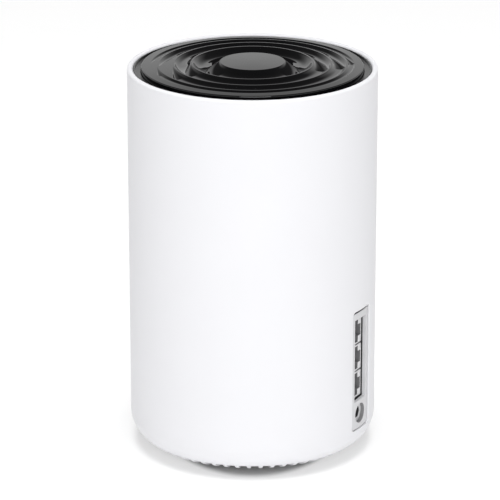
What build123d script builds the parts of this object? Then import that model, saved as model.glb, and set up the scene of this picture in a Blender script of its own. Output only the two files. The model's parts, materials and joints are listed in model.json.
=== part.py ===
from build123d import *

import os
from math import acos, cos, degrees, radians, sin, sqrt

os.makedirs("parts", exist_ok=True)

# Mesh wifi node: a tall round casing with a rear port panel, a vented base and a swirl top.
# Millimetres, +Z up, origin on the floor under the axis. The ports face +Y.

# Casing
BODY_R = 62.0            # outside radius of the casing
LIP_Z = 196.0            # top of the white lip
WALL = 2.9               # casing wall
FOOT_H = 2.3             # height of the base above the floor
CORNER_R = 14.2          # radius of the casing's lower edge
SHELL_EDGE_R = 57.5      # radius where the casing ends and the vented base begins
SEAM = 0.25              # gap between neighbouring casing parts
LIP_ROUND = 1.3          # rounding of the lip's two edges
LEDGE_Z = 190.0          # top of the casing's inner ledge, which carries the trim ring

# Swirl top
COVER_R = 54.95          # outside radius of the swirl cover
COVER_TOP_Z = 198.7      # crown of the swirl cover
COVER_DROP = 2.33        # fall of the cover from its crown to its edge
COVER_POWER = 1.6        # how late the cover falls away
COVER_SEAT_Z = 191.4     # underside of the cover's rim
SWIRL_TURN = 118.0       # direction of the swirl's long axis about Z, in degrees
CREST = 0.6              # half width of the crest left between two grooves
TRIM_TOP_Z = 195.1       # top of the trim ring's rim, just below the lip
TRIM_RIM_T = 0.8         # thickness of that rim
CHANNEL_Z = 193.6        # floor of the dark channel between the rim and the cover

# Vented base
BASE_T = 2.4             # thickness of the base plate
SLOT_COUNT = 60
SLOT_ANGLE = 3.93        # width of one vent slot, in degrees
SLOT_PHASE = 5.2         # direction of the first vent slot, in degrees
SLOT_IN_R = 42.0
SLOT_TOP_Z = 7.6

# Port panel
PANEL_W = 17.9
PANEL_LOW_Z = 15.5
PANEL_HIGH_Z = 79.0
PANEL_ROUND = 2.2
PANEL_RECESS = 0.7       # depth of the panel's face below the casing's surface
POCKET_W = 12.1
POCKET_LOW_Z = 30.6
POCKET_HIGH_Z = 74.2
JACK_FACE_Y = 58.8       # front faces of the jacks
JACK_PITCH = 14.2
JACK_W = 13.9            # jack width, which stands upright
JACK_H = 11.5            # jack height, which lies across the panel
JACK_BACK_Y = 38.0
DC_Z = 23.4
DC_RECESS_R = 5.1
DC_HOLE_R = 3.3          # hole in the floor of the power recess
DC_FLOOR_Y = 59.0        # floor of the power recess
DC_BORE_R = 3.1
DC_BORE_DEPTH = 9.5
DC_BACK_Y = 44.0         # back of the power inlet's block
DC_FACE_Y = 56.7         # front of the power inlet's block

# Main board, upright, with its faces towards -X and +X
BOARD_X = 5.75           # face that carries the jacks
BOARD_T = 1.6
BOARD_LOW_Y = -46.0
BOARD_HIGH_Y = 54.0
BOARD_LOW_Z = 20.0
BOARD_HIGH_Z = 178.0

# Inner frame
FRAME_R = 55.0
FRAME_LOW_Z = 12.5
FRAME_RING_T = 4.0
FRAME_TOP_Z = 186.0
POST_R = 53.0
POST_T = 3.0
POST_W = 8.0
BASE_SCREW_R = 36.0      # radius of the base screws' circle
TRIM_SCREW_R = 52.4      # radius of the trim screws' circle

# Reset button, behind the base
RESET_X = 9.1
RESET_Y = -20.0
RESET_R = 2.2
RUN = 0.07               # running clearance of the button in its guide
GUIDE_TOP_Z = 10.0
BUTTON_TOP_Z = 18.6

# Worked out from the sizes above
INNER_R = BODY_R - WALL
CORNER_C = BODY_R - CORNER_R
CORNER_Z = FOOT_H + CORNER_R
SHELL_END = degrees(acos((SHELL_EDGE_R - CORNER_C) / CORNER_R))
BASE_START = SHELL_END + degrees(SEAM / CORNER_R)
BASE_TOP_Z = FOOT_H + BASE_T
PANEL_FACE_R = BODY_R - PANEL_RECESS
PANEL_MID_Z = (PANEL_LOW_Z + PANEL_HIGH_Z) / 2
POCKET_MID_Z = (POCKET_LOW_Z + POCKET_HIGH_Z) / 2
BOARD_BACK_X = BOARD_X + BOARD_T
BOARD_MID_Y = (BOARD_LOW_Y + BOARD_HIGH_Y) / 2
BOARD_MID_Z = (BOARD_LOW_Z + BOARD_HIGH_Z) / 2
QUARTERS = (45, 135, 225, 315)


def corner(radius, angle):
    """Point (r, z) on the rounded lower edge, at an angle below the horizontal in degrees."""
    turn = radians(angle)
    return (CORNER_C + radius * cos(turn), CORNER_Z - radius * sin(turn))


def dome_z(radius):
    """Height of the swirl cover's crests at a distance from the axis."""
    return COVER_TOP_Z - COVER_DROP * (radius / 55.0) ** COVER_POWER


def save(builder, name):
    """Label a finished piece and write it to its own file."""
    builder.part.label = name
    export_step(builder.part, f"parts/{name}.step")


# Outer shell: straight wall, rounded lower edge, rounded lip, inner ledge
with BuildPart() as outer_shell:
    with BuildSketch(Plane.XZ):
        with BuildLine():
            ThreePointArc(
                corner(CORNER_R, SHELL_END), corner(CORNER_R, SHELL_END / 2), (BODY_R, CORNER_Z)
            )
            Polyline(
                (BODY_R, CORNER_Z),
                (BODY_R, LIP_Z),
                (INNER_R, LIP_Z),
                (INNER_R, LEDGE_Z),
                (INNER_R - 2.5, LEDGE_Z),
                (INNER_R - 2.5, LEDGE_Z - 1.0),
                (INNER_R, LEDGE_Z - 3.5),
                (INNER_R, CORNER_Z),
            )
            ThreePointArc(
                (INNER_R, CORNER_Z),
                corner(CORNER_R - WALL, SHELL_END / 2),
                corner(CORNER_R - WALL, SHELL_END),
            )
            Line(corner(CORNER_R - WALL, SHELL_END), corner(CORNER_R, SHELL_END))
        make_face()
    revolve(axis=Axis.Z)
    fillet(outer_shell.edges().filter_by(GeomType.CIRCLE).group_by(Axis.Z)[-1], LIP_ROUND)
    # Cut-out for the port panel, with a softened outer edge
    with BuildSketch(Plane.XZ.offset(-45)):
        with Locations((0, PANEL_MID_Z)):
            RectangleRounded(PANEL_W, PANEL_HIGH_Z - PANEL_LOW_Z, PANEL_ROUND)
    extrude(amount=-30, mode=Mode.SUBTRACT)
    # Hole for the status light at the front
    with BuildSketch(Plane.XZ.offset(50)):
        with Locations((BOARD_X + BOARD_T / 2, 26)):
            Circle(1.55)
    extrude(amount=20, mode=Mode.SUBTRACT)
save(outer_shell, "outer_shell")

# Base plate: flat middle, 60 radial vent slots, locating rim inside the shell
RIM_IN, RIM_OUT = CORNER_R - WALL - 2.0, CORNER_R - WALL - 0.2
RIM_TOP, RIM_FOOT = 34, 58
with BuildPart() as base_plate:
    with BuildSketch(Plane.XZ):
        with BuildLine():
            Line((0, FOOT_H), (CORNER_C, FOOT_H))
            ThreePointArc(
                (CORNER_C, FOOT_H),
                corner(CORNER_R, (90 + BASE_START) / 2),
                corner(CORNER_R, BASE_START),
            )
            Line(corner(CORNER_R, BASE_START), corner(RIM_OUT, BASE_START))
            ThreePointArc(
                corner(RIM_OUT, BASE_START),
                corner(RIM_OUT, (BASE_START + RIM_TOP) / 2),
                corner(RIM_OUT, RIM_TOP),
            )
            Line(corner(RIM_OUT, RIM_TOP), corner(RIM_IN, RIM_TOP))
            ThreePointArc(
                corner(RIM_IN, RIM_TOP), corner(RIM_IN, (RIM_TOP + RIM_FOOT) / 2), corner(RIM_IN, RIM_FOOT)
            )
            Line(corner(RIM_IN, RIM_FOOT), corner(CORNER_R - BASE_T, RIM_FOOT))
            ThreePointArc(
                corner(CORNER_R - BASE_T, RIM_FOOT),
                corner(CORNER_R - BASE_T, (90 + RIM_FOOT) / 2),
                (CORNER_C, BASE_TOP_Z),
            )
            Polyline((CORNER_C, BASE_TOP_Z), (0, BASE_TOP_Z), (0, FOOT_H))
        make_face()
    revolve(axis=Axis.Z)
    # Vent slots, wider towards the edge
    half = sin(radians(SLOT_ANGLE / 2))
    with BuildSketch(Plane.XY):
        with PolarLocations(0, SLOT_COUNT, start_angle=SLOT_PHASE):
            Polygon(
                (SLOT_IN_R, -SLOT_IN_R * half),
                (BODY_R, -BODY_R * half),
                (BODY_R, BODY_R * half),
                (SLOT_IN_R, SLOT_IN_R * half),
                align=None,
            )
    extrude(amount=SLOT_TOP_Z, mode=Mode.SUBTRACT)
    # Guide tube of the reset button
    with BuildSketch(Plane.XY.offset(BASE_TOP_Z)):
        with Locations((RESET_X, RESET_Y)):
            Circle(RESET_R + 1.5)
    extrude(amount=GUIDE_TOP_Z - BASE_TOP_Z)
    with Locations((RESET_X, RESET_Y, GUIDE_TOP_Z)):
        Hole(RESET_R + RUN)
    # Seats of the four rubber feet, recess of the label, counterbored screw holes
    with BuildSketch(Plane.XY.offset(FOOT_H)):
        with PolarLocations(33, 4, start_angle=45):
            Circle(5.1)
    extrude(amount=0.8, mode=Mode.SUBTRACT)
    with BuildSketch(Plane.XY.offset(FOOT_H)):
        RectangleRounded(44.4, 20.4, 2.2)
    extrude(amount=0.25, mode=Mode.SUBTRACT)
    with BuildSketch(Plane.XY.offset(FOOT_H)):
        with PolarLocations(BASE_SCREW_R, 4):
            Circle(3.0)
    extrude(amount=1.2, mode=Mode.SUBTRACT)
    with BuildSketch(Plane.XY.offset(FOOT_H)):
        with PolarLocations(BASE_SCREW_R, 4):
            Circle(1.6)
    extrude(amount=BASE_T, mode=Mode.SUBTRACT)
save(base_plate, "base_plate")

# Rubber feet: four round pads
with BuildPart() as rubber_feet:
    with BuildSketch(Plane.XY):
        with PolarLocations(33, 4, start_angle=45):
            Circle(5.0)
    extrude(amount=FOOT_H + 0.8)
    fillet(rubber_feet.edges().group_by(Axis.Z)[0], 0.6)
save(rubber_feet, "rubber_feet")

# Blank label on the base
with BuildPart() as rating_label:
    with BuildSketch(Plane.XY.offset(FOOT_H + 0.05)):
        RectangleRounded(44, 20, 2)
    extrude(amount=0.2)
save(rating_label, "rating_label")

# Trim ring: black channel between the lip and the swirl cover, with four screw bosses below
with BuildPart() as top_trim_ring:
    with BuildSketch(Plane.XZ):
        with BuildLine():
            Polyline(
                (INNER_R - 0.15, LEDGE_Z),
                (INNER_R - 0.15, TRIM_TOP_Z),
                (INNER_R - 0.15 - TRIM_RIM_T, TRIM_TOP_Z),
                (INNER_R - 0.15 - TRIM_RIM_T, CHANNEL_Z),
                (COVER_R + SEAM, CHANNEL_Z),
                (COVER_R + SEAM, COVER_SEAT_Z),
                (49.5, COVER_SEAT_Z),
                (49.5, LEDGE_Z),
                close=True,
            )
        make_face()
    revolve(axis=Axis.Z)
    fillet(top_trim_ring.edges().filter_by(GeomType.CIRCLE).group_by(Axis.Z)[-1], 0.3)
    with BuildSketch(Plane.XY.offset(FRAME_TOP_Z)):
        with PolarLocations(TRIM_SCREW_R, 4):
            Circle(2.5)
    extrude(amount=LEDGE_Z - FRAME_TOP_Z)
    with BuildSketch(Plane.XY.offset(FRAME_TOP_Z)):
        with PolarLocations(TRIM_SCREW_R, 4):
            Circle(1.22)
    extrude(amount=3.6, mode=Mode.SUBTRACT)
save(top_trim_ring, "top_trim_ring")

# Swirl cover: a dome with crescent grooves. Each groove is (left tip, right tip, near radius,
# far radius, side, floor), in a frame whose X axis is the swirl's long axis.
GROOVES = (
    ((-46.0, -10.0), (45.3, 9.5), 46.5, 50.5, -1, 194.9),
    ((-38.7, -9.0), (38.0, 10.5), 39.0, 46.5, -1, 195.4),
    ((-30.0, -7.0), (29.5, 5.0), 30.0, 39.0, -1, 195.9),
    ((-17.5, -3.0), (18.5, -1.0), 15.6, 30.0, -1, 196.3),
    ((-48.7, 9.5), (49.2, 8.0), 46.5, 50.5, 1, 194.9),
    ((-42.5, 8.0), (42.7, 2.5), 39.0, 46.5, 1, 195.4),
    ((-34.2, -10.0), (35.2, 0.0), 30.0, 39.0, 1, 195.9),
    ((-23.5, -11.0), (24.3, -10.5), 15.6, 30.0, 1, 196.3),
)
with BuildPart() as top_cover:
    with BuildSketch(Plane.XZ):
        with BuildLine():
            crown = [(r, dome_z(r)) for r in (0, 14, 28, 42, COVER_R)]
            Spline(*crown, tangents=((1, 0), (1, -0.068)))
            Polyline(
                (COVER_R, dome_z(COVER_R)),
                (COVER_R, COVER_SEAT_Z),
                (50.0, COVER_SEAT_Z),
                (50.0, 192.6),
                (38.0, 193.8),
                (0, 194.4),
                (0, COVER_TOP_Z),
            )
        make_face()
    revolve(axis=Axis.Z)
    for left, right, near, far, side, floor in GROOVES:
        with BuildSketch(Plane.XY.offset(floor).rotated((0, 0, SWIRL_TURN))):
            with BuildLine():
                ThreePointArc(left, (0, side * (far - CREST)), right)
                ThreePointArc(right, (0, side * (near + CREST)), left)
            make_face()
        extrude(amount=6, mode=Mode.SUBTRACT)
save(top_cover, "top_cover")

# Port bezel: a plate that follows the casing, with a flange behind the wall
with BuildPart() as port_bezel:
    with BuildSketch(Plane.XZ.offset(-45)):
        with Locations((0, PANEL_MID_Z)):
            RectangleRounded(PANEL_W - 0.3, PANEL_HIGH_Z - PANEL_LOW_Z - 0.3, PANEL_ROUND - 0.15)
    extrude(amount=-30)
    with BuildSketch(Plane.XY):
        Circle(PANEL_FACE_R)
    extrude(amount=LIP_Z, mode=Mode.INTERSECT)
    with BuildSketch(Plane.XY):
        Circle(57.2)
    extrude(amount=LIP_Z, mode=Mode.SUBTRACT)
    with BuildSketch(Plane.XY.offset(19)) as flange:
        Circle(INNER_R - 0.1)
        Circle(57.2, mode=Mode.SUBTRACT)
        with Locations((0, 58)):
            Rectangle(24, 10, mode=Mode.INTERSECT)
    extrude(amount=PANEL_HIGH_Z + 2.5 - 19)
    # Pocket of the jacks, and the round recess of the power inlet with a hole in its floor
    with BuildSketch(Plane.XZ.offset(-45)):
        with Locations((0, POCKET_MID_Z)):
            Rectangle(POCKET_W, POCKET_HIGH_Z - POCKET_LOW_Z)
        with Locations((0, DC_Z)):
            Circle(DC_HOLE_R)
    extrude(amount=-30, mode=Mode.SUBTRACT)
    with BuildSketch(Plane.XZ.offset(-DC_FLOOR_Y)):
        with Locations((0, DC_Z)):
            Circle(DC_RECESS_R)
    extrude(amount=-10, mode=Mode.SUBTRACT)
save(port_bezel, "port_bezel")


# Network jacks: shield, housing with a stepped opening, eight contacts
def jack(index, mid_z):
    """One jack at a height, as shield, housing and contact set."""
    with BuildPart() as shield:
        with BuildSketch(Plane.XZ.offset(-JACK_BACK_Y)):
            with Locations((0, mid_z)):
                Rectangle(JACK_H, JACK_W)
        extrude(amount=-(JACK_FACE_Y - JACK_BACK_Y - 0.3))
        with BuildSketch(Plane.XZ.offset(-JACK_BACK_Y - 0.3)):
            with Locations((0, mid_z)):
                Rectangle(JACK_H - 0.6, JACK_W - 0.6)
        extrude(amount=-30, mode=Mode.SUBTRACT)
    save(shield, f"jack_shield_{index}")
    with BuildPart() as housing:
        with BuildSketch(Plane.XZ.offset(-JACK_BACK_Y - 0.3)):
            with Locations((0, mid_z)):
                Rectangle(JACK_H - 0.6, JACK_W - 0.6)
        extrude(amount=-(JACK_FACE_Y - JACK_BACK_Y - 0.3))
        with BuildSketch(Plane.XZ.offset(-JACK_FACE_Y)):
            with Locations((1.65, mid_z)):
                Rectangle(6.7, 11.9)
            with Locations((-2.4, mid_z)):
                Rectangle(1.8, 6.1)
            with Locations((-3.9, mid_z)):
                Rectangle(1.4, 6.1)
        extrude(amount=13.5, mode=Mode.SUBTRACT)
    save(housing, f"jack_housing_{index}")
    with BuildPart() as contacts:
        with BuildSketch(Plane.XY.offset(mid_z - 0.175)):
            Polygon(
                (4.95, JACK_FACE_Y - 3.6),
                (2.9, JACK_FACE_Y - 9.6),
                (2.9, JACK_FACE_Y - 10.2),
                (3.3, JACK_FACE_Y - 10.2),
                (4.95, JACK_FACE_Y - 5.2),
                align=None,
            )
        wire = extrude(amount=0.35, mode=Mode.PRIVATE)
        for step in range(8):
            add(Pos(0, 0, (step - 3.5) * 1.02) * wire)
    save(contacts, f"jack_contacts_{index}")


for index in range(3):
    jack(index + 1, POCKET_MID_Z + (1 - index) * JACK_PITCH)

# Power inlet: body with a round bore, and its centre pin
with BuildPart() as dc_jack_body:
    with BuildSketch(Plane.XZ.offset(-DC_BACK_Y)):
        with Locations(((BOARD_X - 4.5) / 2, DC_Z)):
            Rectangle(BOARD_X + 4.5, 9.4)
    extrude(amount=-(DC_FACE_Y - DC_BACK_Y))
    with BuildSketch(Plane.XZ.offset(-DC_FACE_Y)):
        with Locations((0, DC_Z)):
            Circle(DC_BORE_R)
    extrude(amount=DC_BORE_DEPTH, mode=Mode.SUBTRACT)
    with BuildSketch(Plane.XZ.offset(-DC_FACE_Y + DC_BORE_DEPTH)):
        with Locations((0, DC_Z)):
            Circle(1.25)
    extrude(amount=2.5, mode=Mode.SUBTRACT)
save(dc_jack_body, "dc_jack_body")

with BuildPart() as dc_jack_pin:
    with BuildSketch(Plane.XZ.offset(-DC_FACE_Y + DC_BORE_DEPTH + 2.5)):
        with Locations((0, DC_Z)):
            Circle(1.2)
    extrude(amount=-DC_BORE_DEPTH - 1.5)
    fillet(dc_jack_pin.edges().group_by(Axis.Y)[-1], 0.5)
save(dc_jack_pin, "dc_jack_pin")

# Inner frame: lower ring on four spokes, four posts, upper ring, cradles for the board
with BuildPart() as inner_frame:
    with BuildSketch(Plane.XY.offset(FRAME_LOW_Z)):
        Circle(FRAME_R)
        Circle(FRAME_R - 5, mode=Mode.SUBTRACT)
        with PolarLocations(42, 4):
            Rectangle(20, 9)
    extrude(amount=FRAME_RING_T)
    with BuildSketch(Plane.XY.offset(BASE_TOP_Z + 0.2)):
        with PolarLocations(BASE_SCREW_R, 4):
            Circle(4.0)
    extrude(amount=FRAME_LOW_Z + FRAME_RING_T - BASE_TOP_Z - 0.2)
    with BuildSketch(Plane.XY.offset(FRAME_LOW_Z + 1)):
        with PolarLocations(POST_R - POST_T / 2, 4, start_angle=45):
            Rectangle(POST_T, POST_W)
    extrude(amount=FRAME_TOP_Z - FRAME_LOW_Z - 2)
    with BuildSketch(Plane.XY.offset(FRAME_TOP_Z - FRAME_RING_T)):
        Circle(FRAME_R)
        Circle(FRAME_R - 8, mode=Mode.SUBTRACT)
    extrude(amount=FRAME_RING_T)
    for low, high, y in (
        (14.5, 27.0, 35.0),
        (14.5, 27.0, -35.0),
        (172.0, 184.0, 45.0),
        (172.0, 184.0, -42.0),
    ):
        with BuildSketch(Plane.XY.offset(low)):
            with Locations((BOARD_X + BOARD_T / 2, y)):
                Rectangle(8.6, 9)
        extrude(amount=high - low)
    # Slot for the board's edges, and the screw holes
    with BuildSketch(Plane.XY.offset(BOARD_LOW_Z - 0.1)):
        with Locations((BOARD_X + BOARD_T / 2, BOARD_MID_Y)):
            Rectangle(BOARD_T + 0.16, BOARD_HIGH_Y - BOARD_LOW_Y + 0.4)
    extrude(amount=BOARD_HIGH_Z - BOARD_LOW_Z + 0.2, mode=Mode.SUBTRACT)
    with BuildSketch(Plane.XY.offset(BASE_TOP_Z)):
        with PolarLocations(BASE_SCREW_R, 4):
            Circle(1.52)
    extrude(amount=10.3, mode=Mode.SUBTRACT)
    with BuildSketch(Plane.XY.offset(FRAME_TOP_Z - FRAME_RING_T)):
        with PolarLocations(TRIM_SCREW_R, 4):
            Circle(1.4)
    extrude(amount=FRAME_RING_T, mode=Mode.SUBTRACT)
save(inner_frame, "inner_frame")

# Main board, with four holes for the heat sinks' screws
SINK_SCREWS = [(y, z) for y in (-33.0, 27.0) for z in (46.0, 158.0)]
with BuildPart() as main_board:
    with BuildSketch(Plane.YZ.offset(BOARD_X)):
        with Locations((BOARD_MID_Y, BOARD_MID_Z)):
            RectangleRounded(BOARD_HIGH_Y - BOARD_LOW_Y, BOARD_HIGH_Z - BOARD_LOW_Z, 2)
        with Locations(*SINK_SCREWS):
            Circle(1.6, mode=Mode.SUBTRACT)
    extrude(amount=BOARD_T)
save(main_board, "main_board")

# Chips under their shields: (y, z, width, height, shield width, shield height), on each face
CHIP_T, CAN_H, CAN_T, PAD_T = 1.3, 2.5, 0.3, 0.6
SINK_Y, SINK_Z, SINK_W, SINK_H, SINK_T = -3.0, 102.0, 70.0, 124.0, 2.0
FIN_PITCH, FIN_COUNT, FIN_H = 6.0, 11, 11.0
FACES = {"left": (BOARD_X, -1), "right": (BOARD_BACK_X, 1)}
CHIPS = {
    "left": ((-3.0, 124.0, 19.0, 19.0, 50.0, 44.0), (-3.0, 76.0, 13.0, 13.0, 50.0, 36.0)),
    "right": ((-3.0, 122.0, 12.0, 12.0, 50.0, 40.0), (-3.0, 76.0, 10.0, 12.0, 50.0, 36.0)),
}


def blocks(face_x, way, near, far, sizes):
    """Blocks (y, z, width, height) standing on a face of the board, from near to far above it."""
    with BuildPart() as group:
        with BuildSketch(Plane.YZ.offset(face_x + way * near)):
            for y, z, width, height in sizes:
                with Locations((y, z)):
                    Rectangle(width, height)
        extrude(amount=way * (far - near))
    return group


def heat_sink(face_x, way, screw_hole_r):
    """Heat sink: base plate, upright fins, and four screw bosses that reach the board."""
    base_near = CAN_H + PAD_T
    base_far = base_near + SINK_T
    with BuildPart() as sink:
        with BuildSketch(Plane.YZ.offset(face_x + way * base_near)):
            with Locations((SINK_Y, SINK_Z)):
                RectangleRounded(SINK_W, SINK_H, 3)
        extrude(amount=way * SINK_T)
        with BuildSketch(Plane.YZ.offset(face_x + way * base_far)):
            with Locations((SINK_Y, SINK_Z)):
                with GridLocations(FIN_PITCH, 1, FIN_COUNT, 1):
                    Rectangle(1.2, SINK_H - 12)
        extrude(amount=way * FIN_H)
        with BuildSketch(Plane.YZ.offset(face_x)):
            with Locations(*SINK_SCREWS):
                Circle(3.2)
        extrude(amount=way * base_near)
        with BuildSketch(Plane.YZ.offset(face_x + way * base_far)):
            with Locations(*SINK_SCREWS):
                Circle(3.6)
        extrude(amount=way * FIN_H, mode=Mode.SUBTRACT)
        with BuildSketch(Plane.YZ.offset(face_x)):
            with Locations(*SINK_SCREWS):
                Circle(screw_hole_r)
        extrude(amount=way * base_far, mode=Mode.SUBTRACT)
    return sink


for side, (face_x, way) in FACES.items():
    chips = blocks(face_x, way, 0, CHIP_T, [chip[:4] for chip in CHIPS[side]])
    save(chips, f"chips_{side}")
    can_sizes = [(y, z, can_w, can_h) for y, z, _, _, can_w, can_h in CHIPS[side]]
    hollows = [(y, z, w - 2 * CAN_T, h - 2 * CAN_T) for y, z, w, h in can_sizes]
    with BuildPart() as cans:
        add(blocks(face_x, way, 0, CAN_H, can_sizes).part)
        add(blocks(face_x, way, 0, CAN_H - CAN_T, hollows).part, mode=Mode.SUBTRACT)
    save(cans, f"shield_cans_{side}")
    pad_sizes = [(y, z, w - 8, h - 8) for y, z, w, h in can_sizes]
    save(blocks(face_x, way, CAN_H, CAN_H + PAD_T, pad_sizes), f"thermal_pads_{side}")
    save(heat_sink(face_x, way, 1.35 if side == "left" else 1.6), f"heat_sink_{side}")

# Heat sink screws: through the right heat sink and the board into the left one
SINK_FLOOR_X = BOARD_BACK_X + CAN_H + PAD_T + SINK_T
with BuildPart() as heat_sink_screws:
    with BuildSketch(Plane.YZ.offset(SINK_FLOOR_X)):
        with Locations(*SINK_SCREWS):
            Circle(2.4)
    extrude(amount=1.6)
    with BuildSketch(Plane.YZ.offset(SINK_FLOOR_X)):
        with Locations(*SINK_SCREWS):
            Circle(1.3)
    extrude(amount=-11)
save(heat_sink_screws, "heat_sink_screws")

# Base screws and trim screws
with BuildPart() as base_screws:
    with BuildSketch(Plane.XY.offset(FOOT_H + 0.1)):
        with PolarLocations(BASE_SCREW_R, 4):
            Circle(2.75)
    extrude(amount=1.1)
    with BuildSketch(Plane.XY.offset(FOOT_H + 1.2)):
        with PolarLocations(BASE_SCREW_R, 4):
            Circle(1.5)
    extrude(amount=10.5)
    with BuildSketch(Plane.XY.offset(FOOT_H + 0.1)):
        with PolarLocations(BASE_SCREW_R, 4):
            Rectangle(3.2, 0.7)
            Rectangle(0.7, 3.2)
    extrude(amount=0.7, mode=Mode.SUBTRACT)
save(base_screws, "base_screws")

with BuildPart() as trim_screws:
    with BuildSketch(Plane.XY.offset(FRAME_TOP_Z - FRAME_RING_T - 1.3)):
        with PolarLocations(TRIM_SCREW_R, 4):
            Circle(2.3)
    extrude(amount=1.3)
    with BuildSketch(Plane.XY.offset(FRAME_TOP_Z - FRAME_RING_T)):
        with PolarLocations(TRIM_SCREW_R, 4):
            Circle(1.2)
    extrude(amount=7.2)
save(trim_screws, "trim_screws")

# Antennas on the four posts, each with a coax lead to a connector on the board
ANTENNA_T, ANTENNA_W, ANTENNA_LOW_Z, ANTENNA_H = 0.8, 13.0, 110.0, 52.0
LEAD_R, LEAD_Z, LEAD_Y, PLUG_H = 0.6, 95.0, 41.0, 1.4
for index, angle in enumerate(QUARTERS):
    radial = Vector(1, 0).rotate(Axis.Z, angle)
    along = Vector(0, 1).rotate(Axis.Z, angle)
    to_board = 1 if (angle // 90) % 2 == 0 else -1
    with BuildPart() as antenna:
        with BuildSketch(Plane.XY.offset(ANTENNA_LOW_Z)):
            with Locations(Location((radial.X * POST_R, radial.Y * POST_R, 0), (0, 0, angle))):
                Rectangle(ANTENNA_T, ANTENNA_W, align=(Align.MIN, Align.CENTER))
        extrude(amount=ANTENNA_H)
    save(antenna, f"antenna_{index + 1}")
    on_right = radial.X > 0
    face_x, way = FACES["right"] if on_right else FACES["left"]
    side_y = LEAD_Y if radial.Y > 0 else -LEAD_Y
    start = radial * (POST_R + ANTENNA_T / 2) + along * (5.4 * to_board) + Vector(0, 0, ANTENNA_LOW_Z)
    route = [
        start,
        start - Vector(0, 0, 12),
        Vector(face_x + way * 16, side_y, LEAD_Z),
        Vector(face_x + way * PLUG_H, side_y, LEAD_Z),
    ]
    with BuildPart() as lead:
        with BuildLine():
            path = FilletPolyline(*route, radius=5)
        with BuildSketch(Plane(origin=start, z_dir=(0, 0, -1))):
            Circle(LEAD_R)
        sweep(path=path)
    save(lead, f"antenna_lead_{index + 1}")

with BuildPart() as coax_plugs:
    for face_x, way in FACES.values():
        with BuildSketch(Plane.YZ.offset(face_x)):
            with Locations((LEAD_Y, LEAD_Z), (-LEAD_Y, LEAD_Z)):
                Circle(1.5)
        extrude(amount=way * PLUG_H)
save(coax_plugs, "coax_plugs")

# Status light: a light-emitting chip on the board's front edge and a light pipe to the casing
LED_X, LED_Z = BOARD_X + BOARD_T / 2, 26.0
with BuildPart() as status_led:
    with BuildSketch(Plane.XZ.offset(-BOARD_LOW_Y)):
        with Locations((LED_X, LED_Z)):
            Rectangle(1.6, 3)
    extrude(amount=1)
save(status_led, "status_led")

PIPE_TIP_Y = 0.1 - sqrt(BODY_R**2 - (LED_X + 1.5) ** 2)
with BuildPart() as light_pipe:
    with BuildSketch(Plane.XZ.offset(-BOARD_LOW_Y + 1.2)):
        with Locations((LED_X, LED_Z)):
            Circle(1.5)
    extrude(amount=-PIPE_TIP_Y + BOARD_LOW_Y - 1.2)
    with BuildSketch(Plane.XZ.offset(-BOARD_LOW_Y + 5)):
        with Locations((LED_X, LED_Z)):
            Circle(3)
    extrude(amount=2)
save(light_pipe, "light_pipe")

# Reset switch on the board, its stem, and the button that pushes it
with BuildPart() as reset_switch:
    with BuildSketch(Plane.XY.offset(20.6)):
        with Locations((RESET_X, RESET_Y)):
            Rectangle(2 * (RESET_X - BOARD_BACK_X), 6)
    extrude(amount=5)
    with BuildSketch(Plane.XY.offset(20.6)):
        with Locations((RESET_X, RESET_Y)):
            Circle(1.2 + RUN)
    extrude(amount=2.4, mode=Mode.SUBTRACT)
save(reset_switch, "reset_switch")

with BuildPart() as switch_stem:
    with BuildSketch(Plane.XY.offset(BUTTON_TOP_Z)):
        with Locations((RESET_X, RESET_Y)):
            Circle(1.2)
    extrude(amount=3.6)
save(switch_stem, "switch_stem")

with BuildPart() as reset_button:
    with BuildSketch(Plane.XY.offset(FOOT_H + 1)):
        with Locations((RESET_X, RESET_Y)):
            Circle(RESET_R)
    extrude(amount=GUIDE_TOP_Z - FOOT_H - 1)
    with BuildSketch(Plane.XY.offset(GUIDE_TOP_Z)):
        with Locations((RESET_X, RESET_Y)):
            Circle(RESET_R + 1)
    extrude(amount=1.2)
    with BuildSketch(Plane.XY.offset(GUIDE_TOP_Z + 1.2)):
        with Locations((RESET_X, RESET_Y)):
            Circle(1.6)
    extrude(amount=BUTTON_TOP_Z - GUIDE_TOP_Z - 1.2)
    fillet(reset_button.edges().group_by(Axis.Z)[0], 0.5)
save(reset_button, "reset_button")
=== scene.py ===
import json
from math import acos, cos, degrees, hypot, pi, radians, sin, sqrt

import bmesh
import bpy
from mathutils import Matrix, Vector
from mathutils.geometry import area_tri, delaunay_2d_cdt


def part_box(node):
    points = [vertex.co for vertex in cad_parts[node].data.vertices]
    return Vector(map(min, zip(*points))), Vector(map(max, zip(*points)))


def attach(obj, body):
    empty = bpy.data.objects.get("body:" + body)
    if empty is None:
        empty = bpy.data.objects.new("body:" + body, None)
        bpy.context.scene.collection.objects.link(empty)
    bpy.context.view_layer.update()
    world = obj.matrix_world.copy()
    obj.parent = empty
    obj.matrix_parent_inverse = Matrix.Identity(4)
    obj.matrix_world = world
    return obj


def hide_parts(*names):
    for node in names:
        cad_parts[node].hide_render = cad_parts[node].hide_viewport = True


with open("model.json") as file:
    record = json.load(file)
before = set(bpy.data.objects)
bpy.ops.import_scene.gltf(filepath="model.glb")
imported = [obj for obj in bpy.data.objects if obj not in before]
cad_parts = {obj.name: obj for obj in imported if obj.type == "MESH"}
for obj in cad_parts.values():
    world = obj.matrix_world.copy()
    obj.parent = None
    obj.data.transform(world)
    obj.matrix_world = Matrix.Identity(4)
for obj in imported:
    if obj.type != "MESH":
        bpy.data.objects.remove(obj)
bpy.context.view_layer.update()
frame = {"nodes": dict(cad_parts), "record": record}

MM = 0.001
BODY = "casing"


# ---------------------------------------------------------------- sizes, in millimetres
def box(name):
    """Lowest and highest corner of a CAD node."""
    low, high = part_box(name)
    return Vector(low) / MM, Vector(high) / MM


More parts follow.
